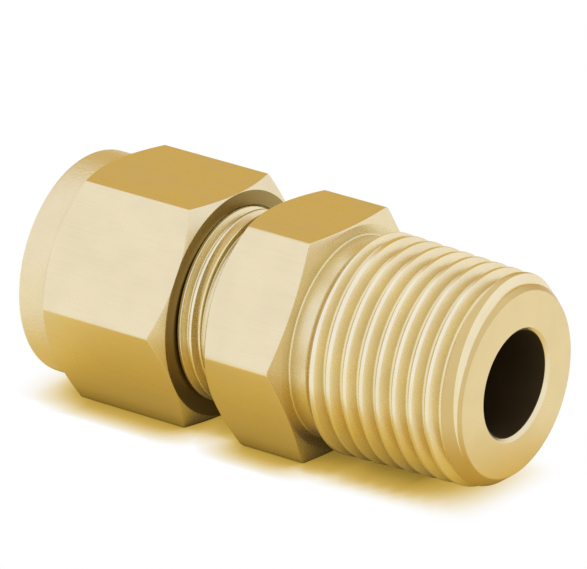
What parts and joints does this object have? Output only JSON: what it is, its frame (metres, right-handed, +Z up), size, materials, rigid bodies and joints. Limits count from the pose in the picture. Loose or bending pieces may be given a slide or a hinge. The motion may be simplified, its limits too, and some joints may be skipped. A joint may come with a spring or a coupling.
{
  "type": "male tube connector",
  "caption": "Brass compression fitting: tube nut with two ferrules on a hex body, and a tapered male pipe thread opposite, bored through.",
  "frame": {"origin": "centre of the pipe thread's end face, on the common axis", "axes": "+X along the axis towards the pipe thread's end, +Z up with hex flats above and below, +Y to the side"},
  "size_m": [0.05, 0.0256, 0.0222],
  "materials": {
    "body_brass": "machined satin",
    "nut_brass": "machined satin",
    "ferrule_brass": "fine turned"
  },
  "bodies": {
    "connector_body": {"connector_body": "body_brass"},
    "ferrules": {"front_ferrule": "ferrule_brass", "back_ferrule": "ferrule_brass"},
    "nut": {"tube_nut": "nut_brass"}
  },
  "joints": [
    {"name": "nut_travel", "type": "slide", "parent": "connector_body", "child": "ferrules", "axis": [-1, 0, 0], "range_m": [0, 0.00762]},
    {"name": "nut_turn", "type": "hinge", "parent": "ferrules", "child": "nut", "pos_m": [-0.0412, 0, 0], "axis": [-1, 0, 0], "range_deg": [0, 2160]}
  ],
  "couplings": [
    {"joint": "nut_travel", "follows": "nut_turn", "m_per_rad": 0.00020212}
  ]
}
